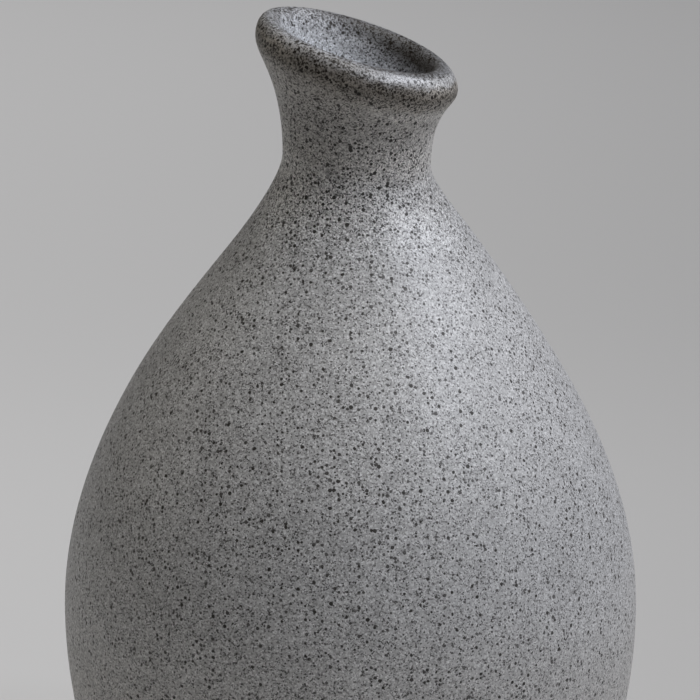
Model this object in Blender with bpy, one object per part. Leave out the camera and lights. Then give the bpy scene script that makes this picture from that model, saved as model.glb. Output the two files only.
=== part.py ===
"""Ceramic bud vase: a thrown stoneware body whose neck leans to one side, the glaze coat that
covers it outside, the liner glaze inside it and the pads under its foot ring.

Metres, +Z up. The origin is the centre of the base, level with the undersides of the pads.
The body is turned about Z first. Above the shoulder it is then leaned towards +X, so that the
mouth's high side is at -X and its low side at +X.
"""

import math

import bmesh
import bpy
from mathutils import Vector

MM = 0.001

# Glazed outside, from the glaze line above the foot to the crest of the lip
GLAZE_LINE_RADIUS = 38.0 * MM
GLAZE_LINE_HEIGHT = 6.5 * MM
BELLY_RADIUS = 61.5 * MM
BELLY_HEIGHT = 70.0 * MM
NECK_RADIUS = 15.6 * MM
NECK_HEIGHT = 169.3 * MM
LIP_RADIUS = 21.2 * MM
LIP_HEIGHT = 190.2 * MM
LIP_ROUND_WIDTH = 3.5 * MM
LIP_ROUND_HEIGHT = 4.8 * MM
CREST_RADIUS = LIP_RADIUS - LIP_ROUND_WIDTH
CREST_HEIGHT = LIP_HEIGHT + LIP_ROUND_HEIGHT

# Glazed inside, from the crest of the lip to the middle of the floor
THROAT_RADIUS = 11.7 * MM
THROAT_HEIGHT = 168.4 * MM
WALL_AT_BELLY = 5.0 * MM
FLOOR_HEIGHT = 9.0 * MM
FLOOR_FLAT_RADIUS = 27.0 * MM

# Coats: each glaze is a thin skin that stands clear of the clay and of the other glaze
GLAZE_THICKNESS = 0.4 * MM
COAT_GAP = 0.3 * MM
CLAY_INSET = GLAZE_THICKNESS + COAT_GAP

# Foot ring, and the pads that hold it off the table
FOOT_RADIUS = 36.5 * MM
FOOT_INNER_RADIUS = 26.0 * MM
FOOT_EDGE = 0.8 * MM
FOOT_WALL_HEIGHT = 4.4 * MM
RECESS_HEIGHT = 4.2 * MM
RECESS_CORNER = 2.0 * MM
PAD_RADIUS = 4.0 * MM
PAD_THICKNESS = 1.0 * MM
PAD_EDGE = 0.15 * MM
PAD_COUNT = 4
PAD_FIRST_ANGLE = math.radians(45)
FOOT_UNDERSIDE = PAD_THICKNESS + COAT_GAP

# Lean: the slope of the mouth grows from the shoulder up, and the neck's axis moves to +X
LEAN_SLOPE = 0.34
LEAN_START = 149.8 * MM
LEAN_END = 205.5 * MM
NECK_OFFSET = 1.3 * MM
OFFSET_START = NECK_HEIGHT - 50.0 * MM
OFFSET_END = NECK_HEIGHT - 10.0 * MM

SEGMENTS = 36
PAD_SEGMENTS = 24
WELD_DISTANCE = 0.001 * MM


def smoothstep(amount):
    """Ease from 0 to 1 as the amount goes from 0 to 1, level outside that range."""
    amount = min(max(amount, 0.0), 1.0)
    return amount * amount * (3 - 2 * amount)


def lean(point):
    """Carry a point of the straight turned vase to its place on the leaning one."""
    slope = LEAN_SLOPE * smoothstep((point.z - LEAN_START) / (LEAN_END - LEAN_START))
    offset = NECK_OFFSET * smoothstep((point.z - OFFSET_START) / (OFFSET_END - OFFSET_START))
    return Vector((point.x + offset, point.y, point.z - slope * point.x))


def curve(start, start_handle, end_handle, end, steps):
    """Points of a cubic curve, as (radius, height), without its last point."""
    points = []
    for step in range(steps):
        t = step / steps
        weights = ((1 - t) ** 3, 3 * t * (1 - t) ** 2, 3 * t * t * (1 - t), t**3)
        corners = (start, start_handle, end_handle, end)
        radius = sum(weight * corner[0] for weight, corner in zip(weights, corners))
        height = sum(weight * corner[1] for weight, corner in zip(weights, corners))
        points.append((radius, height))
    return points


def quarter_round(centre, width, height, steps):
    """Points of a quarter ellipse from its outermost point to its top, without the last."""
    angles = [step / steps * math.pi / 2 for step in range(steps)]
    return [
        (centre[0] + width * math.cos(angle), centre[1] + height * math.sin(angle))
        for angle in angles
    ]


def outside_line():
    """The glazed outside, from the glaze line up to the outer side of the lip's crest."""
    belly = (BELLY_RADIUS, BELLY_HEIGHT)
    neck = (NECK_RADIUS, NECK_HEIGHT)
    lip = (LIP_RADIUS, LIP_HEIGHT)
    lower = curve(
        (GLAZE_LINE_RADIUS, GLAZE_LINE_HEIGHT),
        (GLAZE_LINE_RADIUS + 12 * MM, GLAZE_LINE_HEIGHT + 9.5 * MM),
        (BELLY_RADIUS, BELLY_HEIGHT - 30.2 * MM),
        belly,
        steps=7,
    )
    shoulder = curve(
        belly,
        (BELLY_RADIUS, BELLY_HEIGHT + 48.3 * MM),
        (NECK_RADIUS, NECK_HEIGHT - 12.2 * MM),
        neck,
        steps=15,
    )
    flare = curve(
        neck,
        (NECK_RADIUS, NECK_HEIGHT + 14.5 * MM),
        (LIP_RADIUS, LIP_HEIGHT - 3.3 * MM),
        lip,
        steps=7,
    )
    lip_round = quarter_round(
        (CREST_RADIUS, LIP_HEIGHT), LIP_ROUND_WIDTH, LIP_ROUND_HEIGHT, steps=4
    )
    return lower + shoulder + flare + lip_round


def mouth_line():
    """The glazed funnel of the mouth, from the lip's crest down to the throat."""
    throat = (THROAT_RADIUS, THROAT_HEIGHT)
    funnel = curve(
        (CREST_RADIUS, CREST_HEIGHT),
        (CREST_RADIUS - 3 * MM, CREST_HEIGHT),
        (THROAT_RADIUS, THROAT_HEIGHT + 16 * MM),
        throat,
        steps=7,
    )
    return funnel + [throat]


def inside_line():
    """The glazed inside, from the throat down to the middle of the floor."""
    belly = (BELLY_RADIUS - WALL_AT_BELLY, BELLY_HEIGHT)
    floor_edge = (FLOOR_FLAT_RADIUS, FLOOR_HEIGHT)
    shoulder = curve(
        (THROAT_RADIUS, THROAT_HEIGHT),
        (THROAT_RADIUS, THROAT_HEIGHT - 14.7 * MM),
        (belly[0], BELLY_HEIGHT + 46 * MM),
        belly,
        steps=11,
    )
    bowl = curve(
        belly,
        (belly[0], BELLY_HEIGHT - 33 * MM),
        (FLOOR_FLAT_RADIUS + 16 * MM, FLOOR_HEIGHT),
        floor_edge,
        steps=7,
    )
    return shoulder + bowl + [floor_edge, (0.0, FLOOR_HEIGHT)]


def inset(line, distance):
    """Move a line to its own left by a distance, with every stretch kept parallel.

    Each line here runs up the outside and down the inside, so its left is into the clay.
    """
    normals = []
    for (radius, height), (next_radius, next_height) in zip(line, line[1:]):
        length = math.hypot(next_radius - radius, next_height - height)
        normals.append(((height - next_height) / length, (next_radius - radius) / length))
    before = normals[:1] + normals
    after = normals + normals[-1:]
    moved = []
    for (radius, height), one, two in zip(line, before, after):
        share = distance / (1 + one[0] * two[0] + one[1] * two[1])
        moved.append((radius + share * (one[0] + two[0]), height + share * (one[1] + two[1])))
    return moved


def turned_body(name, outline):
    """Spin a half outline about Z and lean it. An outline that ends on the axis stays open."""
    ends_on_axis = outline[0][0] == 0 and outline[-1][0] == 0
    turned = bmesh.new()
    corners = [turned.verts.new((radius, 0.0, height)) for radius, height in outline]
    edges = [turned.edges.new(pair) for pair in zip(corners, corners[1:])]
    if not ends_on_axis:
        edges.append(turned.edges.new((corners[-1], corners[0])))
    bmesh.ops.spin(
        turned,
        geom=corners + edges,
        cent=(0, 0, 0),
        axis=(0, 0, 1),
        angle=2 * math.pi,
        steps=SEGMENTS,
        use_merge=True,
    )
    bmesh.ops.remove_doubles(turned, verts=turned.verts[:], dist=WELD_DISTANCE)
    for vertex in turned.verts:
        vertex.co = lean(vertex.co)
    bmesh.ops.recalc_face_normals(turned, faces=turned.faces[:])
    mesh = bpy.data.meshes.new(name)
    turned.to_mesh(mesh)
    turned.free()
    mesh.shade_smooth()
    mesh.set_sharp_from_angle(angle=math.radians(40))
    return mesh


def material(name, colour, roughness):
    """A Principled material with one colour and roughness."""
    made = bpy.data.materials.new(name)
    made.use_nodes = True
    shader = made.node_tree.nodes["Principled BSDF"]
    shader.inputs["Base Color"].default_value = (*colour, 1.0)
    shader.inputs["Roughness"].default_value = roughness
    shader.inputs["Metallic"].default_value = 0.0
    made.diffuse_color = (*colour, 1.0)
    return made


def bare_clay():
    """Fired stoneware, bare at the foot."""
    return material("bare_clay", (0.55, 0.50, 0.44), 0.85)


def speckled_glaze():
    """Grey satin glaze of the outside, the lip and the mouth."""
    return material("speckled_glaze", (0.36, 0.36, 0.36), 0.42)


def liner_glaze():
    """Thinner, paler glaze that makes the inside hold water."""
    return material("liner_glaze", (0.44, 0.43, 0.42), 0.35)


def pad_felt():
    """Dark felt of the pads."""
    return material("pad_felt", (0.10, 0.10, 0.10), 0.95)


def place(name, mesh, look, holder, location=(0, 0, 0)):
    """Put a mesh into the scene as one named piece under the vase's empty."""
    piece = bpy.data.objects.new(name, mesh)
    mesh.materials.append(look)
    piece.location = location
    piece.parent = holder
    bpy.context.scene.collection.objects.link(piece)
    return piece


def foot_line():
    """The bare clay under the vase, from the middle of the recess to the glaze line."""
    return [
        (0.0, RECESS_HEIGHT),
        (FOOT_INNER_RADIUS - RECESS_CORNER, RECESS_HEIGHT),
        (FOOT_INNER_RADIUS, RECESS_HEIGHT - RECESS_CORNER),
        (FOOT_INNER_RADIUS + FOOT_EDGE, FOOT_UNDERSIDE),
        (FOOT_RADIUS - FOOT_EDGE, FOOT_UNDERSIDE),
        (FOOT_RADIUS, FOOT_UNDERSIDE + FOOT_EDGE),
        (FOOT_RADIUS, FOOT_WALL_HEIGHT),
    ]


def clay_body(holder):
    """The fired clay: foot ring, body, leaning neck and thick round lip, in one piece."""
    skin = outside_line() + mouth_line()[:-1] + inside_line()
    outline = foot_line() + inset(skin, CLAY_INSET)
    return place("clay_body", turned_body("clay_body", outline), bare_clay(), holder)


def outer_glaze(holder):
    """The coat from the glaze line up the outside, over the lip and down to the throat."""
    skin = outside_line() + mouth_line()
    outline = skin + inset(skin, GLAZE_THICKNESS)[::-1]
    return place("outer_glaze", turned_body("outer_glaze", outline), speckled_glaze(), holder)


def inner_glaze(holder):
    """The liner, poured in: from just under the throat down the inside and over the floor."""
    skin = inside_line()
    skin[0] = (THROAT_RADIUS, THROAT_HEIGHT - COAT_GAP)
    outline = skin + inset(skin, GLAZE_THICKNESS)[::-1]
    return place("inner_glaze", turned_body("inner_glaze", outline), liner_glaze(), holder)


def foot_pads(holder):
    """Round pads, evenly spaced under the middle of the foot ring."""
    felt = pad_felt()
    ring_middle = (FOOT_RADIUS + FOOT_INNER_RADIUS) / 2
    for number in range(PAD_COUNT):
        name = f"foot_pad_{number + 1}"
        disc = bmesh.new()
        bmesh.ops.create_cone(
            disc,
            cap_ends=True,
            segments=PAD_SEGMENTS,
            radius1=PAD_RADIUS,
            radius2=PAD_RADIUS,
            depth=PAD_THICKNESS,
        )
        mesh = bpy.data.meshes.new(name)
        disc.to_mesh(mesh)
        disc.free()
        mesh.shade_smooth()
        mesh.set_sharp_from_angle(angle=math.radians(40))
        angle = PAD_FIRST_ANGLE + 2 * math.pi * number / PAD_COUNT
        location = (
            ring_middle * math.cos(angle),
            ring_middle * math.sin(angle),
            PAD_THICKNESS / 2,
        )
        pad = place(name, mesh, felt, holder, location)
        edge = pad.modifiers.new("cut_edge", "BEVEL")
        edge.width = PAD_EDGE
        edge.segments = 1


def main():
    for old in list(bpy.data.objects):
        bpy.data.objects.remove(old)
    holder = bpy.data.objects.new("vase", None)
    bpy.context.scene.collection.objects.link(holder)
    clay_body(holder)
    outer_glaze(holder)
    inner_glaze(holder)
    foot_pads(holder)
    bpy.context.view_layer.update()


main()
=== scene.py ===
"""The looks of the ceramic bud vase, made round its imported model.

Metres, +Z up, in the row frame. Every outline is turned about Z and then leaned towards +X
above the shoulder, as the part's own solids are. The sizes that the frame's boxes give are read
from them, and the others repeat the part's driving dimensions.
"""

import math

import bpy
import numpy as np
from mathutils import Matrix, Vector


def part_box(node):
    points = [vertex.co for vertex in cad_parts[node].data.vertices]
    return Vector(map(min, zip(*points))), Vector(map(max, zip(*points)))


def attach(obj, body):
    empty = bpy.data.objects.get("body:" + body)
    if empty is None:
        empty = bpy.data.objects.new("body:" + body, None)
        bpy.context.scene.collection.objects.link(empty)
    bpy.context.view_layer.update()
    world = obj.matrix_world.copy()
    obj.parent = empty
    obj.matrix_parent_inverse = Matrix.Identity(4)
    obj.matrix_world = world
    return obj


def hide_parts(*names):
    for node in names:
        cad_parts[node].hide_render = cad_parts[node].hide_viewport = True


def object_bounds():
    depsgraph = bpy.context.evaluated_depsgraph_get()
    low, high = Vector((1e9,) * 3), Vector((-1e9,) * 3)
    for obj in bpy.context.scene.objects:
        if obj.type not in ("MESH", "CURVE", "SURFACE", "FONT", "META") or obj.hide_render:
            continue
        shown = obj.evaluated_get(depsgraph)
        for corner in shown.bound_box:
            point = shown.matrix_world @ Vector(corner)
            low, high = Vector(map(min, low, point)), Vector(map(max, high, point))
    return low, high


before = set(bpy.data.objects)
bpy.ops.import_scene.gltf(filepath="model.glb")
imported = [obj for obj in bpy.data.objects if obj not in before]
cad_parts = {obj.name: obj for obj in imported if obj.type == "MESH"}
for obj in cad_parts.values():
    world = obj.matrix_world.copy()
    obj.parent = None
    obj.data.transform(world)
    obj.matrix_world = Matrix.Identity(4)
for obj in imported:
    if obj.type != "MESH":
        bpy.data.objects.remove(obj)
CAD_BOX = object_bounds()

MM = 0.001

# Sizes from the frame
GLAZE_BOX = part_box("outer_glaze")
BELLY_RADIUS = GLAZE_BOX[1].y
GLAZE_LINE_HEIGHT = GLAZE_BOX[0].z
FOOT_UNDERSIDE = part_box("clay_body")[0].z

# Outline of the glazed outside, as (radius, height)
GLAZE_LINE = (38.0 * MM, GLAZE_LINE_HEIGHT)
BELLY = (BELLY_RADIUS, 70.0 * MM)
NECK = (15.6 * MM, 169.3 * MM)
LIP = (21.2 * MM, 190.2 * MM)
LIP_ROUND_WIDTH = 3.5 * MM
LIP_ROUND_HEIGHT = 4.8 * MM
CREST = (LIP[0] - LIP_ROUND_WIDTH, LIP[1] + LIP_ROUND_HEIGHT)

# Outline of the mouth and the inside
THROAT = (11.7 * MM, 168.4 * MM)
INSIDE_BELLY = (BELLY_RADIUS - 5.0 * MM, BELLY[1])
FLOOR_EDGE = (27.0 * MM, 9.0 * MM)

# Foot ring
FOOT_RADIUS = 36.5 * MM
FOOT_INNER_RADIUS = 26.0 * MM
FOOT_WALL_HEIGHT = 4.4 * MM
FOOT_EDGE = 0.8 * MM
RECESS_HEIGHT = 4.2 * MM

# Lean of the neck and the mouth
LEAN_SLOPE = 0.34
LEAN_START = 149.8 * MM
LEAN_END = 205.5 * MM
NECK_OFFSET = 1.3 * MM
OFFSET_START = NECK[1] - 50.0 * MM
OFFSET_END = NECK[1] - 10.0 * MM

# How far the back of each glaze coat and the face of the clay lie under the glazed outline, and
# how far the outside coat's face does, which keeps its bead and waves inside the CAD box
COAT_BACK = 0.55 * MM
CLAY_FACE = 0.50 * MM
SKIN_DEPTH = 0.06 * MM

# How far above the glaze line, along the outline, the clay is wholly under the coat
CLAY_STARTS = 0.6 * MM

# The outside coat's edge at the foot: it wanders, is rounded and swells into a bead. Its rings
# are finer up to its reach, and its back starts a little above its front
EDGE_WAVE = 0.7 * MM
EDGE_WAVE_REACH = 12 * MM
EDGE_ROUND = 0.9 * MM
EDGE_REACH = 3.0 * MM
EDGE_BACK = 0.8 * MM
BEAD_HEIGHT = 0.16 * MM
BEAD_PLACE = 1.5 * MM
BEAD_WIDTH = 1.0 * MM

# Unevenness of the outside coat, and the length of its longest waves
THROWN_DEPTH = 0.05 * MM
THROWN_LENGTH = 90 * MM
RIPPLE_DEPTH = 0.02 * MM
RIPPLE_LENGTH = 14 * MM

# Throwing rings in the inside coat: they fade in under the throat and out above the floor, and
# their spiral drifts a little
THROWING_RING_DEPTH = 0.15 * MM
THROWING_RING_SPACING = 7.5 * MM
RINGS_FADE_IN = 20 * MM
RINGS_FADE_OUT = 15 * MM
RING_DRIFT = 0.6
RING_DRIFT_LENGTH = 23 * MM
FLOOR_RING_DEPTH = 0.06 * MM
FLOOR_RING_SPACING = 6.0 * MM
FLOOR_RINGS_FADE = 6 * MM

# The turned recess in the foot: trimming rings, the nub left in the middle and sandy clay
RECESS_SLOPE = 2.0 * MM
RECESS_FADE = 2 * MM
TRIMMING_DEPTH = 0.10 * MM
TRIMMING_SPACING = 1.9 * MM
NUB_HEIGHT = 0.35 * MM
NUB_RADIUS = 3.5 * MM
SANDY_DEPTH = 0.02 * MM
SANDY_LENGTH = 6 * MM
FOOT_FILLET = 0.5 * MM

# The felt pads: pressed a little, round at the rim and fuzzy
PADS = 4
PAD_PRESS = 0.02 * MM
PAD_ROUND = 0.3 * MM
PAD_FUZZ = 0.07 * MM

# How finely the pieces are divided
SEGMENTS = 192
PAD_SEGMENTS = 96
RING_SPACING = 1.0 * MM
EDGE_RING_SPACING = 0.2 * MM
LINER_RING_SPACING = 1.6 * MM
FOOT_RING_SPACING = 0.45 * MM
BACK_RINGS = 120
CLAY_RINGS = 200
FLOOR_RINGS = 36
PAD_RINGS = 90
NEAR_AXIS = 0.5 * MM
PAD_NEAR_AXIS = 0.2 * MM


# ---------------------------------------------------------------- outlines


def smoothstep(amount):
    """Ease from 0 to 1 as the amount goes from 0 to 1, level outside that range."""
    amount = np.clip(amount, 0.0, 1.0)
    return amount * amount * (3 - 2 * amount)


def lean(points):
    """Carry points of the straight turned vase to their places on the leaning one."""
    x, y, z = points[..., 0], points[..., 1], points[..., 2]
    slope = LEAN_SLOPE * smoothstep((z - LEAN_START) / (LEAN_END - LEAN_START))
    offset = NECK_OFFSET * smoothstep((z - OFFSET_START) / (OFFSET_END - OFFSET_START))
    return np.stack((x + offset, y, z - slope * x), axis=-1)


def curve(start, start_handle, end_handle, end):
    """A finely divided cubic curve, as rows of (radius, height)."""
    t = np.linspace(0.0, 1.0, 241)[:, None]
    corners = [np.array(corner) for corner in (start, start_handle, end_handle, end)]
    weights = ((1 - t) ** 3, 3 * t * (1 - t) ** 2, 3 * t * t * (1 - t), t**3)
    return sum(weight * corner for weight, corner in zip(weights, corners))


def joined(*lines):
    """Several lines end to end, with each meeting point kept once."""
    return np.concatenate([lines[0]] + [line[1:] for line in lines[1:]])


def outside_line():
    """The glazed outside, from the glaze line up to the crest of the lip."""
    lower = curve(
        GLAZE_LINE,
        (GLAZE_LINE[0] + 12 * MM, GLAZE_LINE[1] + 9.5 * MM),
        (BELLY[0], BELLY[1] - 30.2 * MM),
        BELLY,
    )
    shoulder = curve(
        BELLY, (BELLY[0], BELLY[1] + 48.3 * MM), (NECK[0], NECK[1] - 12.2 * MM), NECK
    )
    flare = curve(NECK, (NECK[0], NECK[1] + 14.5 * MM), (LIP[0], LIP[1] - 3.3 * MM), LIP)
    angles = np.linspace(0.0, math.pi / 2, 61)
    lip_round = np.stack(
        (
            CREST[0] + LIP_ROUND_WIDTH * np.cos(angles),
            LIP[1] + LIP_ROUND_HEIGHT * np.sin(angles),
        ),
        axis=-1,
    )
    return joined(lower, shoulder, flare, lip_round)


def mouth_line():
    """The glazed funnel of the mouth, from the lip's crest down to the throat."""
    return curve(CREST, (CREST[0] - 3 * MM, CREST[1]), (THROAT[0], THROAT[1] + 16 * MM), THROAT)


def inside_line():
    """The glazed inside, from the throat down to the edge of the flat floor."""
    shoulder = curve(
        THROAT,
        (THROAT[0], THROAT[1] - 14.7 * MM),
        (INSIDE_BELLY[0], INSIDE_BELLY[1] + 46 * MM),
        INSIDE_BELLY,
    )
    bowl = curve(
        INSIDE_BELLY,
        (INSIDE_BELLY[0], INSIDE_BELLY[1] - 33 * MM),
        (FLOOR_EDGE[0] + 16 * MM, FLOOR_EDGE[1]),
        FLOOR_EDGE,
    )
    return joined(shoulder, bowl)


class Outline:
    """A line in the (radius, height) plane that can be read at any distance along itself."""

    def __init__(self, line):
        steps = np.hypot(*np.diff(line, axis=0).T)
        self.line = line
        self.along = np.concatenate(([0.0], np.cumsum(steps)))
        self.length = self.along[-1]
        ahead = np.gradient(line, self.along, axis=0)
        ahead /= np.hypot(*ahead.T)[:, None]
        self.normals = np.stack((ahead[:, 1], -ahead[:, 0]), axis=-1)

    def at(self, distance, proud):
        """Radius and height at a distance along the line, moved out of the surface."""
        radius = np.interp(distance, self.along, self.line[:, 0])
        height = np.interp(distance, self.along, self.line[:, 1])
        out_radius = np.interp(distance, self.along, self.normals[:, 0])
        out_height = np.interp(distance, self.along, self.normals[:, 1])
        return radius + proud * out_radius, height + proud * out_height


# ---------------------------------------------------------------- relief


def waves(angle, along, seed, terms, longest_turns, longest_length):
    """Smooth unevenness from -1 to 1 over a turned surface, closed round each turn."""
    random = np.random.default_rng(seed)
    total = np.zeros(np.broadcast(angle, along).shape)
    for _ in range(terms):
        turns = random.integers(1, longest_turns + 1)
        length = longest_length * random.uniform(0.35, 1.0)
        phase, tilt = random.uniform(0, 2 * math.pi, 2)
        total = total + np.sin(turns * angle + phase + 2 * math.pi * along / length + tilt)
    return total / terms


def spun(radius, height, angle):
    """Points turned about Z from radii and heights, then leaned."""
    radius, height, angle = np.broadcast_arrays(radius, height, angle)
    return lean(np.stack((radius * np.cos(angle), radius * np.sin(angle), height), axis=-1))


def turned_mesh(name, points, loop=False, cap_start=False, cap_end=False):
    """A mesh over rows of points round Z. A loop joins the last row to the first; a cap closes a
    row with a point on the axis."""
    rows, segments = points.shape[:2]
    corners = [tuple(corner) for corner in points.reshape(-1, 3)]
    numbers = np.arange(rows * segments).reshape(rows, segments)
    after = np.roll(numbers, -1, axis=1)
    below = np.roll(numbers, -1, axis=0)
    below_after = np.roll(after, -1, axis=0)
    count = rows if loop else rows - 1
    quads = np.stack((numbers, after, below_after, below), axis=-1)[:count].reshape(-1, 4)
    faces = quads.tolist()
    if cap_start:
        corners.append(tuple(points[0].mean(axis=0)))
        middle = len(corners) - 1
        faces += [(middle, int(b), int(a)) for a, b in zip(numbers[0], after[0])]
    if cap_end:
        corners.append(tuple(points[-1].mean(axis=0)))
        middle = len(corners) - 1
        faces += [(middle, int(a), int(b)) for a, b in zip(numbers[-1], after[-1])]
    mesh = bpy.data.meshes.new(name)
    mesh.from_pydata(corners, [], faces)
    mesh.validate()
    mesh.shade_smooth()
    return mesh


def turn_angles(segments=SEGMENTS):
    """The angles of one turn, each once."""
    return np.arange(segments) * 2 * math.pi / segments


def add_piece(name, mesh, look, slot, *nodes):
    """Put a piece into the scene in place of its CAD nodes."""
    piece = bpy.data.objects.new(name, mesh)
    bpy.context.scene.collection.objects.link(piece)
    mesh.materials.append(look)
    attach(piece, "root")
    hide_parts(*nodes)
    return piece


def paint(mesh, name, values):
    """Store one number for each vertex of a mesh, for its material to read."""
    attribute = mesh.attributes.new(name, "FLOAT", "POINT")
    attribute.data.foreach_set("value", values.astype(np.float32).ravel())


# ---------------------------------------------------------------- pieces


def glaze_coat(look):
    """The outside coat: over the body, the lip and the mouth, with a rolled edge at the foot."""
    angle = turn_angles()[None, :]
    line = Outline(joined(outside_line(), mouth_line()))
    crest = Outline(outside_line()).length
    edge_wave = EDGE_WAVE * (1 + waves(angle, 0.0 * angle, 11, 7, 9, 1.0))

    def wandering(along):
        """Distances along the line, moved up by the edge's wave where they are near it."""
        return along + edge_wave * (1 - smoothstep(along / EDGE_WAVE_REACH))

    near_edge = np.arange(0.0, EDGE_REACH - 0.5 * EDGE_RING_SPACING, EDGE_RING_SPACING)
    rest = np.linspace(EDGE_REACH, line.length, round(line.length / RING_SPACING))
    along = np.concatenate((near_edge, rest))[:, None]
    place = wandering(along)
    roundness = np.sqrt(1 - (1 - np.clip(along / EDGE_ROUND, 0, 1)) ** 2)
    bead = BEAD_HEIGHT * np.exp(-(((along - BEAD_PLACE) / BEAD_WIDTH) ** 2))
    thrown = THROWN_DEPTH * (1 - waves(angle, place, 5, 9, 4, THROWN_LENGTH)) / 2
    ripple = RIPPLE_DEPTH * (1 - waves(angle, place, 8, 10, 14, RIPPLE_LENGTH)) / 2
    proud = (roundness - 1) * CLAY_FACE + bead - thrown - ripple - SKIN_DEPTH
    front = spun(*line.at(place, proud), angle)
    back_along = np.linspace(line.length, EDGE_BACK, BACK_RINGS)[:, None]
    back_place = wandering(back_along)
    back = spun(*line.at(back_place, -COAT_BACK), angle)
    points = np.concatenate((front, back))
    mesh = turned_mesh("glaze_coat", points, loop=True)
    from_crest = np.concatenate((place, back_place)) - crest
    paint(mesh, "from_crest", from_crest / MM)
    paint(mesh, "from_edge", np.concatenate((along + 0 * angle, back_along + 0 * angle)) / MM)
    return add_piece("glaze_coat", mesh, look, "speckled_glaze", "outer_glaze")


def liner_coat(look):
    """The inside coat, with the throwing rings of the wall under it."""
    angle = turn_angles()[None, :]
    line = Outline(inside_line())
    along = np.linspace(0.0, line.length, round(line.length / LINER_RING_SPACING))[:, None]
    fade_in = smoothstep(along / RINGS_FADE_IN)
    fade = fade_in * smoothstep((line.length - along) / RINGS_FADE_OUT)
    drift = RING_DRIFT * np.sin(along / RING_DRIFT_LENGTH)
    spiral = np.sin(2 * math.pi * along / THROWING_RING_SPACING + angle + drift)
    wall = spun(*line.at(along, -THROWING_RING_DEPTH * fade * (1 + spiral) / 2), angle)
    floor_radius = np.linspace(FLOOR_EDGE[0], NEAR_AXIS, FLOOR_RINGS)[1:, None]
    swirl = np.sin(2 * math.pi * floor_radius / FLOOR_RING_SPACING + angle)
    floor_fade = smoothstep((FLOOR_EDGE[0] - floor_radius) / FLOOR_RINGS_FADE)
    floor_dip = FLOOR_RING_DEPTH * floor_fade * (1 + swirl)
    floor = spun(floor_radius, FLOOR_EDGE[1] - floor_dip, angle)
    back_floor = spun(floor_radius[::-3], FLOOR_EDGE[1] - COAT_BACK, angle)
    back_wall = spun(*line.at(along[::-3], -COAT_BACK), angle)
    points = np.concatenate((back_floor, back_wall, wall, floor))
    mesh = turned_mesh("liner_coat", points, cap_start=True, cap_end=True)
    return add_piece("liner_coat", mesh, look, "liner_glaze", "inner_glaze")


def filleted(corners, radius, steps=6):
    """A line through corners, each rounded by an arc-like curve of about the given radius."""
    corners = [np.array(corner) for corner in corners]
    points = [corners[0]]
    for before, corner, after in zip(corners, corners[1:], corners[2:]):
        back = before - corner
        ahead = after - corner
        reach = min(radius, np.linalg.norm(back) / 2, np.linalg.norm(ahead) / 2)
        start = corner + back / np.linalg.norm(back) * reach
        end = corner + ahead / np.linalg.norm(ahead) * reach
        for t in np.linspace(0, 1, steps):
            points.append((1 - t) ** 2 * start + 2 * t * (1 - t) * corner + t * t * end)
    points.append(corners[-1])
    return np.array(points)


def foot_line():
    """The bare clay, from near the axis in the recess, round the foot ring, to the glaze line."""
    return filleted(
        [
            (NEAR_AXIS, RECESS_HEIGHT),
            (FOOT_INNER_RADIUS - RECESS_SLOPE, RECESS_HEIGHT),
            (FOOT_INNER_RADIUS, RECESS_HEIGHT - RECESS_SLOPE),
            (FOOT_INNER_RADIUS + FOOT_EDGE, FOOT_UNDERSIDE),
            (FOOT_RADIUS - FOOT_EDGE, FOOT_UNDERSIDE),
            (FOOT_RADIUS, FOOT_UNDERSIDE + FOOT_EDGE),
            (FOOT_RADIUS, FOOT_WALL_HEIGHT),
            (GLAZE_LINE[0] - 0.8 * CLAY_FACE, GLAZE_LINE[1]),
        ],
        FOOT_FILLET,
    )


def clay_wall(look):
    """The fired clay. It shows at the foot; elsewhere it lies under the two coats."""
    angle = turn_angles()[None, :]
    foot = Outline(foot_line())
    along = np.linspace(0.0, foot.length, round(foot.length / FOOT_RING_SPACING))[:, None]
    radius, _ = foot.at(along, 0.0 * along)
    in_recess = smoothstep((FOOT_INNER_RADIUS - RECESS_FADE / 2 - radius) / RECESS_FADE)
    trimming = TRIMMING_DEPTH * np.sin(2 * math.pi * radius / TRIMMING_SPACING - angle)
    nub = NUB_HEIGHT * np.exp(-((radius / NUB_RADIUS) ** 2))
    sandy = SANDY_DEPTH * (1 + waves(angle, along, 3, 8, 30, SANDY_LENGTH))
    proud = -in_recess * (trimming - nub) - sandy
    foot_points = spun(*foot.at(along, -np.abs(proud)), angle)
    outside = Outline(joined(outside_line(), mouth_line(), inside_line()))
    up = np.linspace(CLAY_STARTS, outside.length, CLAY_RINGS)[:, None]
    wall = spun(*outside.at(up, -CLAY_FACE), angle)
    points = np.concatenate((foot_points, wall))
    mesh = turned_mesh("clay_wall", points, cap_start=True, cap_end=True)
    return add_piece("clay_wall", mesh, look, "bare_clay", "clay_body")


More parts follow.
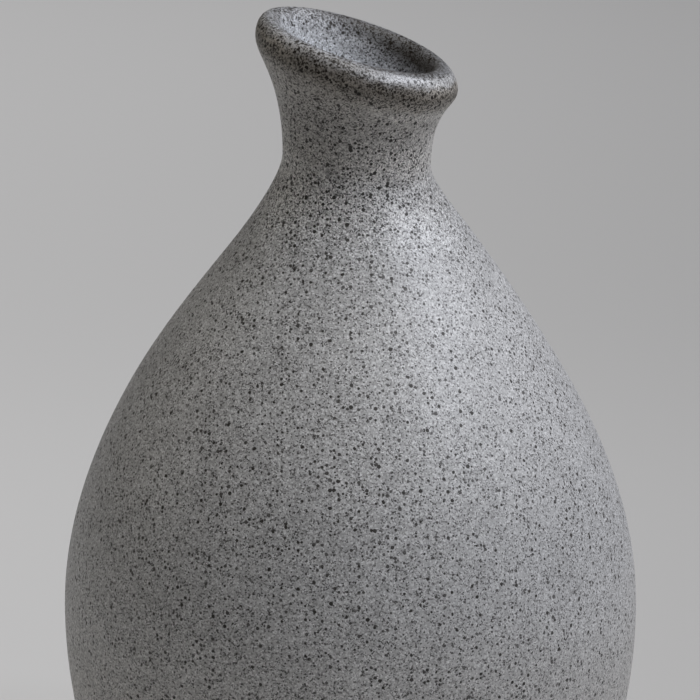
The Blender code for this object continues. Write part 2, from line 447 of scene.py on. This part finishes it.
def felt_pad(number, look):
    """One round felt pad, cut from sheet and pressed a little under the vase's weight."""
    node = f"foot_pad_{number}"
    low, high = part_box(node)
    centre = (low + high) / 2
    pad_radius = (high.x - low.x) / 2
    top = FOOT_UNDERSIDE + PAD_PRESS
    corners = [
        (PAD_NEAR_AXIS, low.z),
        (pad_radius, low.z),
        (pad_radius, top),
        (PAD_NEAR_AXIS, top),
    ]
    line = Outline(filleted(corners, PAD_ROUND))
    angle = turn_angles(PAD_SEGMENTS)[None, :]
    along = np.linspace(0.0, line.length, PAD_RINGS)[:, None]
    fuzz = np.random.default_rng(40 + number).uniform(-1, 0, (len(along), PAD_SEGMENTS))
    fuzz = (fuzz + np.roll(fuzz, 1, 0) + np.roll(fuzz, 1, 1)) / 3
    radius, height = line.at(along, PAD_FUZZ * fuzz)
    points = np.stack(
        (centre.x + radius * np.cos(angle), centre.y + radius * np.sin(angle), height), axis=-1
    )
    mesh = turned_mesh(node + "_felt", points, cap_start=True, cap_end=True)
    return add_piece(f"felt_pad_{number}", mesh, look, "pad_felt", node)


# ---------------------------------------------------------------- materials


class Tree:
    """A short way to write a material as nodes. Sizes are in millimetres of the row frame."""

    def __init__(self, name):
        self.material = bpy.data.materials.new(name)
        self.material.use_nodes = True
        self.nodes = self.material.node_tree.nodes
        self.links = self.material.node_tree.links
        self.shader = self.nodes["Principled BSDF"]
        place = self.nodes.new("ShaderNodeTexCoord").outputs["Object"]
        self.place = self.scaled(place, 1 / MM)

    def fill(self, socket, value):
        """Give a socket a link or a plain value."""
        if isinstance(value, bpy.types.NodeSocket):
            self.links.new(value, socket)
        else:
            socket.default_value = value

    def set(self, name, value):
        """Give one of the shader's sockets a link or a plain value."""
        self.fill(self.shader.inputs[name], value)

    def maths(self, operation, first, second=0.0, third=0.0, clamp=False):
        """A maths node's result."""
        made = self.nodes.new("ShaderNodeMath")
        made.operation = operation
        made.use_clamp = clamp
        for socket, value in zip(made.inputs, (first, second, third)):
            self.fill(socket, value)
        return made.outputs[0]

    def scaled(self, vector, scale):
        """A vector times a number."""
        made = self.nodes.new("ShaderNodeVectorMath")
        made.operation = "SCALE"
        self.fill(made.inputs[0], vector)
        self.fill(made.inputs["Scale"], scale)
        return made.outputs["Vector"]

    def shaken(self, size, reach):
        """The place on the surface, moved about by noise so that round things lose their shape."""
        made = self.nodes.new("ShaderNodeVectorMath")
        made.operation = "MULTIPLY_ADD"
        self.fill(made.inputs[0], self.noise(size, 2.0, 0.6)["Color"])
        self.fill(made.inputs[1], (reach, reach, reach))
        self.fill(made.inputs[2], self.place)
        return made.outputs["Vector"]

    def times(self, *values):
        """The product of numbers and sockets."""
        product = values[0]
        for value in values[1:]:
            product = self.maths("MULTIPLY", product, value)
        return product

    def between(self, value, starts, ends):
        """1 between two smooth steps of a value and 0 outside them; each step is (low, high)."""
        return self.maths("SUBTRACT", self.ease(value, *starts), self.ease(value, *ends))

    def ease(self, value, low, high, to_low=0.0, to_high=1.0):
        """A smooth step of a value between two limits."""
        made = self.nodes.new("ShaderNodeMapRange")
        made.interpolation_type = "SMOOTHSTEP"
        for socket, number in zip(made.inputs, (value, low, high, to_low, to_high)):
            self.fill(socket, number)
        return made.outputs[0]

    def mix(self, amount, first, second):
        """A colour between two others."""
        made = self.nodes.new("ShaderNodeMix")
        made.data_type = "RGBA"
        self.fill(made.inputs["Factor"], amount)
        for name, colour in (("A", first), ("B", second)):
            self.fill(made.inputs[name], (*colour, 1.0) if isinstance(colour, tuple) else colour)
        return made.outputs["Result"]

    def painted(self, name):
        """A number painted on the mesh."""
        made = self.nodes.new("ShaderNodeAttribute")
        made.attribute_name = name
        return made.outputs["Fac"]

    def split(self, value, kind="ShaderNodeSeparateColor"):
        """The three parts of a colour or of a place."""
        made = self.nodes.new(kind)
        self.links.new(value, made.inputs[0])
        return made.outputs

    def ramp(self, value, stops):
        """A colour read at a value from (value, colour) stops, with smooth passages between."""
        made = self.nodes.new("ShaderNodeValToRGB")
        made.color_ramp.interpolation = "EASE"
        first, last = stops[0][0], stops[-1][0]
        share = self.maths("MULTIPLY_ADD", value, 1 / (last - first), -first / (last - first))
        self.fill(made.inputs[0], share)
        elements = made.color_ramp.elements
        while len(elements) < len(stops):
            elements.new(0.5)
        for element, (at, _) in zip(elements, stops):
            element.position = (at - first) / (last - first)
        for element, (_, colour) in zip(elements, stops):
            element.color = (*colour, 1.0)
        return made.outputs["Color"]

    def tint(self, first, second):
        """One colour times another."""
        made = self.nodes.new("ShaderNodeMix")
        made.data_type = "RGBA"
        made.blend_type = "MULTIPLY"
        self.fill(made.inputs["Factor"], 1.0)
        self.fill(made.inputs["A"], first)
        self.fill(made.inputs["B"], second)
        return made.outputs["Result"]

    def added(self, first, second):
        """One colour plus another."""
        made = self.nodes.new("ShaderNodeVectorMath")
        made.operation = "ADD"
        self.fill(made.inputs[0], first)
        self.fill(made.inputs[1], second)
        return made.outputs["Vector"]

    def noise(self, size, detail, roughness, place=None):
        """Cloudy noise from 0 to 1 whose patches are about this many millimetres across."""
        made = self.nodes.new("ShaderNodeTexNoise")
        self.fill(made.inputs["Vector"], place or self.place)
        self.fill(made.inputs["Scale"], 1 / size)
        self.fill(made.inputs["Detail"], detail)
        self.fill(made.inputs["Roughness"], roughness)
        return made.outputs

    def cells(self, size, place):
        """Three random numbers from 0 to 1 for each grain of this many millimetres."""
        made = self.nodes.new("ShaderNodeTexVoronoi")
        self.fill(made.inputs["Vector"], place)
        self.fill(made.inputs["Scale"], 1 / size)
        return self.split(made.outputs["Color"])

    def spots(self, cell, share, smallest, largest, soft, place):
        """Round spots, one at most to each cell, with radii in millimetres.

        The share of cells with a spot can be a socket. Returns the spots from 0 to 1 and a
        random number for each.
        """
        made = self.nodes.new("ShaderNodeTexVoronoi")
        self.fill(made.inputs["Vector"], place)
        self.fill(made.inputs["Scale"], 1 / cell)
        chance = self.split(made.outputs["Color"])
        there = self.maths("LESS_THAN", chance[0], share)
        spread = self.maths("MULTIPLY", chance[1], chance[1])
        radius = self.maths("MULTIPLY_ADD", spread, (largest - smallest) / cell, smallest / cell)
        inside = self.maths("SUBTRACT", radius, made.outputs["Distance"])
        spot = self.maths("DIVIDE", inside, soft / cell, clamp=True)
        return self.maths("MULTIPLY", spot, there), chance[2]

    def relief(self, height, strength, distance):
        """Fine relief in the shading, up to this many millimetres deep."""
        made = self.nodes.new("ShaderNodeBump")
        self.fill(made.inputs["Height"], height)
        self.fill(made.inputs["Strength"], strength)
        self.fill(made.inputs["Distance"], distance * MM)
        self.set("Normal", made.outputs["Normal"])


WHITE = (1.0, 1.0, 1.0)
BLACK = (0.0, 0.0, 0.0)

# The part of its range that most of a noise's values lie in
NOISE_SPREAD = (0.3, 0.7)

# Detail and roughness of the noises
CLOUDY = (3.0, 0.6)
MOTTLED = (2.0, 0.7)
FIBROUS = (3.0, 0.8)

# Glaze specks: cell, share of cells, radii and softness in millimetres, and depths of tone
SPECKS = [
    (0.65, 0.47, 0.09, 0.26, 0.11, 0.44, 0.68),
    (0.83, 0.36, 0.22, 0.47, 0.05, 0.78, 1.00),
    (2.80, 0.12, 0.22, 0.54, 0.12, 0.80, 1.00),
]
CROWDING = 0.22
DARK_CROWDING = 0.5
NECK_CROWDING = 0.5
# Fewer specks inside the mouth: a painted sheen, as the reflection there veils them
MOUTH_CROWDING = -1.1
SHAKE_SIZE = 0.37
SHAKE_REACH = 0.19

# Ground between the specks: sizes in millimetres and how far each kind moves its tone
GRAIN_SIZE = 0.29
GRAIN_DARK = 1.07
GRAIN_DARK_POWER = 3.2
GRAIN_PALE = 0.67
GRAIN_PALE_POWER = 2.2
MOTTLE_SIZE = 0.90
MOTTLE_TONE = 0.11
PATCH_SIZE = 3.2
PATCH_TONE = 0.28
CLOUD_SIZE = 14.0
CLOUD_TONE = 0.36
DARKEST_GROUND = 0.1
MIDDLE_TONE = 0.8

# Contrast of the whole texture, and the grit where the coat breaks up over the rim and neck
BODY_CONTRAST = 1.13
RIM_CONTRAST = 2.3
# Painted sheen: less contrast in the specks on the key-lit right side, standing in for the key
# light's reflection over them
PAINTED_SHEEN_SOFTENING = -0.22
NECK_BREAKUP = 0.3
GRIT_SIZE = 0.24
GRIT_SPREAD = (0.2, 0.8)
GRIT_TONES = (-0.85, 0.75)

# Where the outside glaze changes, as smooth steps in millimetres. Along its line from the
# crest of the lip, negative on the outside and positive in the mouth:
NECK_STARTS = (-50.0, -36.0)
NECK_ENDS = (-26.0, -14.0)
WASH_AND_SHADE_STARTS = (-6.5, -5.0)
WASH_AND_SHADE_ENDS = (-2.2, 0.0)
CREST_STARTS = (-6.0, -3.5)
CREST_ENDS = (-1.0, 1.0)
INTO_MOUTH = (2.0, 7.0)
# Along its line from the glaze line at the foot:
THIN_EDGE = (0.4, 3.2)
WARMER_LOW_BODY = (35.0, 100.0)
# Across the vase, from its axis towards +X:
TO_RIGHT_SIDE = (-10.0, 13.0)
# Where the painted key light makes the glaze paler, to the right
TO_KEY_LIT_SIDE = (0.0, 28.0)
# Where a painted sheen softens the specks, to the right
TO_SHEEN_SIDE = (0.0, 35.0)
# Where painted shade darkens both flanks, as seen from the front
TO_SHADED_FLANKS = (32.0, 54.0)
# Behind the axis, towards +Y, and as far from it on either side:
TO_BACK = (-5.0, 5.0)
TO_WASHED_SHADED_LIP = (12.5, 18.5)

# The lip's wash is deepened with painted shade. At the back it lies further into the mouth,
# where it is painted shade inside the rim, and in front it is thinner
BACK_WASH_AND_SHADE_SHIFT = -6.0
FRONT_WASH = 0.6

# How far in millimetres the patches and the mottle move the changes of tone along the line
PATCH_WANDER = 3.0
MOTTLE_WANDER = 1.6

# Painted key light: the glaze paler on the right
PAINTED_KEY_LIGHT_TONE = 1.035
# Painted shade: the glaze darker at both flanks
PAINTED_FLANK_SHADE = 0.93
THIN_EDGE_TONE = 0.55

# Roughness and shine of the coat, what the specks, the crest and the wash change of them, and
# the relief: specks sink in and pale grains stand up
GLAZE_ROUGHNESS = (0.40, 0.47)
CREST_ROUGHNESS = -0.14
SPECK_ROUGHNESS = 0.18
GLAZE_IOR = 1.62
GLAZE_SHINE = 0.5
DARK_COAT_SHINE = -0.42
CREST_SHINE = 0.2
SPECK_SINK = -0.6
GRAIN_RISE = 0.8


def grey(tone, warmth=0.0):
    """A tone as a colour, a little redder than blue where it is warm."""
    return (tone * (1 + 0.8 * warmth), tone, tone * (1 - 1.2 * warmth))


# Tone of the outside glaze at distances in millimetres from the crest, negative down the neck.
# On the left (towards -X) and the right (towards +X) they hold the glaze's own colour, its
# dark wash under the rim, and painted light and shade: a painted highlight on the right of the
# crest, and inside the mouth the left wall painted lit and the right wall painted shaded.
LEFT_TONES_LIGHT_AND_SHADE = [
    (-140.0, grey(1.10)),
    (-110.0, grey(1.03)),
    (-85.0, grey(1.06)),
    (-45.0, grey(1.15)),
    (-31.0, grey(1.20, 0.03)),
    (-25.0, grey(0.82, 0.05)),
    (-16.5, grey(0.63, 0.05)),
    (-12.5, grey(0.64, 0.06)),
    (-9.5, grey(0.56, 0.07)),
    (-6.4, grey(0.38, 0.11)),
    (-4.6, grey(0.52, 0.09)),
    (-3.0, grey(0.54, 0.02)),
    (-0.6, grey(0.52, -0.03)),
    (1.2, grey(0.45, -0.02)),
    # Inside the mouth, the left wall is painted lit
    (3.2, grey(0.76, -0.03)),
    (6.5, grey(1.20, -0.03)),
    (12.0, grey(2.15, -0.03)),
]
RIGHT_TONES_LIGHT_AND_SHADE = [
    (-140.0, grey(1.13)),
    (-105.0, grey(1.04)),
    (-75.0, grey(1.09)),
    (-60.0, grey(1.09)),
    (-45.0, grey(0.98)),
    (-32.0, grey(0.88, 0.02)),
    (-25.0, grey(1.02, 0.05)),
    (-16.5, grey(0.87, 0.05)),
    (-12.5, grey(1.30, 0.05)),
    (-9.5, grey(0.60, 0.09)),
    (-6.4, grey(0.26, 0.12)),
    (-4.8, grey(0.44, 0.09)),
    # Painted highlight on the right of the crest
    (-3.2, grey(0.94, 0.0)),
    (-1.0, grey(0.34, -0.03)),
    # Inside the mouth, the right wall is painted shaded below the rim, then paler deeper in
    (1.2, grey(0.17, -0.02)),
    (4.5, grey(0.08, 0.02)),
    (7.5, grey(0.29, -0.02)),
    (12.0, grey(1.65, -0.03)),
]
PALE_GRAIN = (0.368, 0.371, 0.376)
IRON_BROWN = (0.010, 0.0062, 0.003)
# The lip's own wash, deepened with painted shade inside the back of the rim
WASH_AND_PAINTED_SHADE = (0.32, 0.32, 0.33)
# Warmer towards the foot
LOW_BODY_WARMTH = (1.085, 1.045, 0.985)


def coat_colour(t, wandered, across, behind):
    """Colour of the coat along its line, left and right, with painted light and shade, and the
    lip's wash deepened with painted shade.
    """
    right_side = t.ease(across, *TO_RIGHT_SIDE)
    colour = t.mix(right_side, t.ramp(wandered, LEFT_TONES_LIGHT_AND_SHADE), t.ramp(wandered, RIGHT_TONES_LIGHT_AND_SHADE))
    is_back = t.ease(behind, *TO_BACK)
    shifted = t.maths("MULTIPLY_ADD", is_back, BACK_WASH_AND_SHADE_SHIFT, wandered)
    wash_and_shade = t.times(
        t.between(shifted, WASH_AND_SHADE_STARTS, WASH_AND_SHADE_ENDS),
        t.ease(t.maths("ABSOLUTE", behind), *TO_WASHED_SHADED_LIP),
        t.ease(is_back, 0.0, 1.0, FRONT_WASH, 1.0),
    )
    return t.tint(colour, t.mix(wash_and_shade, WHITE, WASH_AND_PAINTED_SHADE))


def ground(t, place, mottle, patch, cloud):
    """Lightness of the glaze between the specks, and how pale each of its grains is."""
    grain = t.cells(GRAIN_SIZE, place)
    light = 1 - (MOTTLE_TONE + PATCH_TONE + CLOUD_TONE) / 2
    for tone, amount in (
        (t.maths("POWER", grain[0], GRAIN_DARK_POWER), -GRAIN_DARK),
        (t.maths("POWER", grain[1], GRAIN_PALE_POWER), GRAIN_PALE),
        (mottle, MOTTLE_TONE),
        (patch, PATCH_TONE),
        (cloud, CLOUD_TONE),
    ):
        light = t.maths("MULTIPLY_ADD", tone, amount, light)
    return t.maths("MAXIMUM", light, DARKEST_GROUND), grain[1]


def iron_specks(t, place, crowd):
    """What the specks leave of the ground's lightness, and the depth of the deepest one."""
    left = 1.0
    deepest = 0.0
    for cell, share, smallest, largest, soft, faint, deep in SPECKS:
        chance = t.maths("MULTIPLY_ADD", crowd, CROWDING, share, clamp=True)
        spot, tone = t.spots(cell, chance, smallest, largest, soft, place)
        depth = t.maths("MULTIPLY", spot, t.ease(tone, 0, 1, faint, deep))
        left = t.maths("MULTIPLY", left, t.maths("SUBTRACT", 1.0, depth))
        deepest = t.maths("MAXIMUM", deepest, depth)
    return left, deepest


def crowding(t, cloud, patch, coat_tone, at_neck, from_crest):
    """How crowded the specks are, from about -1 to 1: more where the coat is dark."""
    crowd = t.maths("SUBTRACT", t.maths("ADD", cloud, patch), 1.0)
    paleness = t.maths("MULTIPLY_ADD", coat_tone, DARK_CROWDING, -DARK_CROWDING)
    crowd = t.maths("SUBTRACT", crowd, paleness)
    crowd = t.maths("MULTIPLY_ADD", at_neck, NECK_CROWDING, crowd)
    return t.maths("ADD", crowd, t.ease(from_crest, *INTO_MOUTH, 0.0, MOUTH_CROWDING))


def satin_face(t, mottle, at_crest, coat_darkness, speck_depth, pale_grain):
    """Roughness, shine and fine relief of the coat."""
    satin = t.ease(mottle, *NOISE_SPREAD, *GLAZE_ROUGHNESS)
    satin = t.maths("MULTIPLY_ADD", at_crest, CREST_ROUGHNESS, satin)
    t.set("Roughness", t.maths("MULTIPLY_ADD", speck_depth, SPECK_ROUGHNESS, satin))
    t.set("IOR", GLAZE_IOR)
    shine = t.maths("MULTIPLY_ADD", coat_darkness, DARK_COAT_SHINE, GLAZE_SHINE)
    shine = t.maths("MULTIPLY_ADD", at_crest, CREST_SHINE, shine, clamp=True)
    t.set("Specular IOR Level", shine)
    height = t.times(pale_grain, GRAIN_RISE)
    height = t.maths("MULTIPLY_ADD", speck_depth, SPECK_SINK, height)
    t.relief(height, 0.5, 0.05)


def speckled_glaze():
    """Grey satin glaze: fine grain, small iron specks and fewer large ones, darker at the rim,
    with light and shade painted into its colour.
    """
    t = Tree("speckled_glaze_look")
    from_crest = t.painted("from_crest")
    from_edge = t.painted("from_edge")
    across, behind, _ = t.split(t.place, "ShaderNodeSeparateXYZ")
    place = t.shaken(SHAKE_SIZE, SHAKE_REACH)
    cloud = t.noise(CLOUD_SIZE, *CLOUDY)["Fac"]
    patch = t.noise(PATCH_SIZE, *CLOUDY)["Fac"]
    mottle = t.noise(MOTTLE_SIZE, *MOTTLED)["Fac"]

    middle = (PATCH_WANDER + MOTTLE_WANDER) / 2
    wander = t.maths("MULTIPLY_ADD", patch, PATCH_WANDER, -middle)
    wander = t.maths("MULTIPLY_ADD", mottle, MOTTLE_WANDER, wander)
    wandered = t.maths("ADD", from_crest, wander)
    coat = coat_colour(t, wandered, across, behind)
    coat_tone = t.split(coat)[1]
    coat_darkness = t.maths("SUBTRACT", 1.0, coat_tone, clamp=True)
    at_neck = t.between(from_crest, NECK_STARTS, NECK_ENDS)
    at_crest = t.between(from_crest, CREST_STARTS, CREST_ENDS)
    at_crest = t.times(at_crest, t.ease(across, *TO_RIGHT_SIDE))

    crowd = crowding(t, cloud, patch, coat_tone, at_neck, from_crest)
    specks_leave, speck_depth = iron_specks(t, place, crowd)
    light, pale_grain = ground(t, place, mottle, patch, cloud)
    broken = t.maths("MAXIMUM", coat_darkness, t.maths("MULTIPLY", at_neck, NECK_BREAKUP))
    contrast = t.maths("MULTIPLY_ADD", broken, RIM_CONTRAST, BODY_CONTRAST)
    sheen_softening = t.ease(across, *TO_SHEEN_SIDE, 0.0, PAINTED_SHEEN_SOFTENING)
    contrast = t.maths("ADD", contrast, sheen_softening)
    light = t.maths("DIVIDE", t.times(light, specks_leave), MIDDLE_TONE)
    grit = t.ease(t.cells(GRIT_SIZE, place)[0], *GRIT_SPREAD, *GRIT_TONES)
    light = t.times(
        t.maths("POWER", light, contrast),
        t.maths("MULTIPLY_ADD", grit, broken, 1.0),
        t.ease(across, *TO_KEY_LIT_SIDE, 1.0, PAINTED_KEY_LIGHT_TONE),
        t.ease(t.maths("ABSOLUTE", across), *TO_SHADED_FLANKS, 1.0, PAINTED_FLANK_SHADE),
        t.ease(from_edge, *THIN_EDGE, THIN_EDGE_TONE, 1.0),
        MIDDLE_TONE,
    )
    # The light goes past 1, where a mix's share stops, so it is halved and the colour doubled
    pale = t.mix(t.times(light, 0.5), BLACK, tuple(2 * part for part in PALE_GRAIN))
    pale = t.tint(pale, t.mix(t.ease(from_edge, *WARMER_LOW_BODY), LOW_BODY_WARMTH, WHITE))
    t.set("Base Color", t.added(t.tint(pale, coat), IRON_BROWN))

    satin_face(t, mottle, at_crest, coat_darkness, speck_depth, pale_grain)
    return t.material


LINER_DEEP = (0.33, 0.34, 0.345)
LINER_PALE = (0.44, 0.445, 0.45)
LINER_GRAIN = (0.22, 0.22, 0.22)
LINER_SPECK = (0.06, 0.055, 0.05)
# Cell, share of cells, radii and softness in millimetres, as for the glaze's specks
LINER_SPECKS = (1.6, 0.4, 0.10, 0.34, 0.12)


def liner_glaze():
    """Paler and smoother glaze of the inside, with a few fine specks."""
    t = Tree("liner_glaze_look")
    cloud = t.noise(9.0, *CLOUDY)["Fac"]
    grain = t.noise(0.5, *MOTTLED)["Fac"]
    specks, tone = t.spots(*LINER_SPECKS, t.place)
    body = t.mix(t.ease(cloud, *NOISE_SPREAD), LINER_DEEP, LINER_PALE)
    body = t.mix(t.ease(grain, 0.4, 0.7, 0.0, 0.25), body, LINER_GRAIN)
    body = t.mix(t.times(specks, t.ease(tone, 0, 1, 0.3, 0.9)), body, LINER_SPECK)
    t.set("Base Color", body)
    t.set("Roughness", t.ease(cloud, *NOISE_SPREAD, 0.28, 0.4))
    t.relief(grain, 0.3, 0.04)
    return t.material


CLAY_DEEP = (0.40, 0.33, 0.26)
CLAY_PALE = (0.52, 0.45, 0.37)
CLAY_SAND = (0.26, 0.21, 0.16)
CLAY_GROG = (0.62, 0.56, 0.47)
CLAY_IRON = (0.09, 0.06, 0.045)
GROG_SPOTS = (1.3, 0.5, 0.15, 0.42, 0.12)
IRON_SPOTS = (2.2, 0.35, 0.12, 0.40, 0.12)


def bare_clay():
    """Fired stoneware: warm grey-buff, sandy, with grog and a few iron spots."""
    t = Tree("bare_clay_look")
    cloud = t.noise(8.0, *CLOUDY)["Fac"]
    sand = t.noise(0.45, *FIBROUS)["Fac"]
    grog, grog_tone = t.spots(*GROG_SPOTS, t.place)
    iron, iron_tone = t.spots(*IRON_SPOTS, t.place)
    body = t.mix(t.ease(cloud, *NOISE_SPREAD), CLAY_DEEP, CLAY_PALE)
    body = t.mix(t.ease(sand, 0.4, 0.75, 0.0, 0.45), body, CLAY_SAND)
    body = t.mix(t.times(grog, t.ease(grog_tone, 0, 1, 0.1, 0.7)), body, CLAY_GROG)
    body = t.mix(t.times(iron, t.ease(iron_tone, 0, 1, 0.3, 0.9)), body, CLAY_IRON)
    t.set("Base Color", body)
    t.set("Roughness", t.ease(sand, *NOISE_SPREAD, 0.78, 0.92))
    t.relief(t.maths("MULTIPLY_ADD", grog, 0.5, sand), 0.7, 0.12)
    return t.material


FELT_DEEP = (0.035, 0.035, 0.037)
FELT_PALE = (0.13, 0.13, 0.135)


def pad_felt():
    """Charcoal felt with tangled fibres."""
    t = Tree("pad_felt_look")
    fibre = t.noise(0.22, *FIBROUS, t.shaken(0.9, 1.6))["Fac"]
    t.set("Base Color", t.mix(t.ease(fibre, *NOISE_SPREAD), FELT_DEEP, FELT_PALE))
    t.set("Roughness", t.ease(fibre, *NOISE_SPREAD, 0.9, 1.0))
    t.set("Sheen Weight", 0.4)
    t.set("Sheen Roughness", 0.6)
    t.relief(fibre, 0.8, 0.1)
    return t.material


# ---------------------------------------------------------------- stage


# The paper's tone on the left and on the right: the darker right is painted shade
PAPER_LEFT = (0.588, 0.584, 0.576)
PAPER_RIGHT_PAINTED_SHADE = (0.352, 0.348, 0.342)

# Changes of the paper's tone, as smooth steps in millimetres to the right and behind the vase:
# painted shade to the right, a little painted shade in the middle distance and painted light
# far behind
PAPER_SIDES = (-250.0, 250.0)
PAPER_MIDDLE = (240.0, 420.0)
PAPER_FAR = (420.0, 840.0)
MIDDLE_PAPER_PAINTED_SHADE = (0.955, 0.955, 0.955)
FAR_PAPER_PAINTED_LIGHT = (1.14, 1.14, 1.14)


def backdrop():
    """Pale matt backdrop paper, with painted shade deepening its tone towards the key light and
    painted light making it paler far behind.
    """
    t = Tree("floor_look")
    across, behind, _ = t.split(t.place, "ShaderNodeSeparateXYZ")
    paper = t.mix(t.ease(across, *PAPER_SIDES), PAPER_LEFT, PAPER_RIGHT_PAINTED_SHADE)
    paper = t.tint(paper, t.mix(t.ease(behind, *PAPER_MIDDLE), WHITE, MIDDLE_PAPER_PAINTED_SHADE))
    paper = t.tint(paper, t.mix(t.ease(behind, *PAPER_FAR), WHITE, FAR_PAPER_PAINTED_LIGHT))
    t.set("Base Color", paper)
    t.set("Roughness", 0.9)
    t.set("Specular IOR Level", 0.1)
    return t.material


FLOOR_REACH = 4.0


def stage_floor():
    """A plain pale floor, level with the undersides of the pads."""
    mesh = bpy.data.meshes.new("floor")
    sides = ((-1, -1), (1, -1), (1, 1), (-1, 1))
    corners = [(x * FLOOR_REACH, y * FLOOR_REACH, CAD_BOX[0].z) for x, y in sides]
    mesh.from_pydata(corners, [], [(0, 1, 2, 3)])
    floor = bpy.data.objects.new("floor", mesh)
    bpy.context.scene.collection.objects.link(floor)
    mesh.materials.append(backdrop())


def towards(azimuth, elevation):
    """Unit vector at an azimuth from +X and an elevation, both in degrees."""
    turn, lift = math.radians(azimuth), math.radians(elevation)
    return Vector(
        (math.cos(turn) * math.cos(lift), math.sin(turn) * math.cos(lift), math.sin(lift))
    )


# Lights: name, azimuth and elevation in degrees, width, height, watts and colour
LIGHTS = [
    ("key_light", 1, 48, 1.9, 0.7, 27.5, (0.885, 0.915, 1.0)),
    ("top_light", 0, 85, 1.2, 1.2, 15.5, (1.0, 0.965, 0.90)),
    ("left_fill", 165, 14, 1.2, 1.2, 1.6, (1.0, 0.95, 0.87)),
    ("right_fill", 35, 8, 1.2, 1.2, 0.6, (0.97, 0.98, 1.0)),
]
LIGHT_DISTANCE = 1.6
LIGHT_AIM = Vector((0.0, 0.0, 0.12))


def softbox(name, azimuth, elevation, width, height, watts, colour):
    """A rectangular studio light that faces the vase."""
    data = bpy.data.lights.new(name, "AREA")
    data.shape = "RECTANGLE"
    data.size = width
    data.size_y = height
    data.energy = watts
    data.color = colour
    light = bpy.data.objects.new(name, data)
    direction = towards(azimuth, elevation)
    light.location = LIGHT_AIM + direction * LIGHT_DISTANCE
    light.rotation_mode = "QUATERNION"
    light.rotation_quaternion = direction.to_track_quat("Z", "Y")
    bpy.context.scene.collection.objects.link(light)


def lighting():
    """A wide cool key from the upper right, a warm softbox overhead and weak low fill."""
    for light in LIGHTS:
        softbox(*light)
    world = bpy.data.worlds.new("studio")
    world.use_nodes = True
    world.node_tree.nodes["Background"].inputs["Strength"].default_value = 0.0
    bpy.context.scene.world = world


CAMERA_AZIMUTH = -90
CAMERA_ELEVATION = 18
CAMERA_DISTANCE = 1.1
CAMERA_AIM = Vector((-0.0001, 0.0, 0.1272))
CAMERA_LENS = 267.0
CAMERA_SENSOR = 36.0


def camera():
    """A long lens in front, looking down on the mouth, close enough to crop the foot."""
    data = bpy.data.cameras.new("camera")
    data.sensor_width = CAMERA_SENSOR
    data.lens = CAMERA_LENS
    data.clip_start = 0.05
    data.clip_end = 50.0
    eye = bpy.data.objects.new("camera", data)
    back = towards(CAMERA_AZIMUTH, CAMERA_ELEVATION)
    eye.location = CAMERA_AIM + back * CAMERA_DISTANCE
    eye.rotation_mode = "QUATERNION"
    eye.rotation_quaternion = back.to_track_quat("Z", "Y")
    bpy.context.scene.collection.objects.link(eye)
    bpy.context.scene.camera = eye


def main():
    """Make the pieces round the frame, then the stage, the lights and the camera."""
    bpy.context.scene.view_settings.view_transform = "Standard"
    glaze_coat(speckled_glaze())
    liner_coat(liner_glaze())
    clay_wall(bare_clay())
    felt = pad_felt()
    for number in range(1, PADS + 1):
        felt_pad(number, felt)
    stage_floor()
    lighting()
    camera()


main()
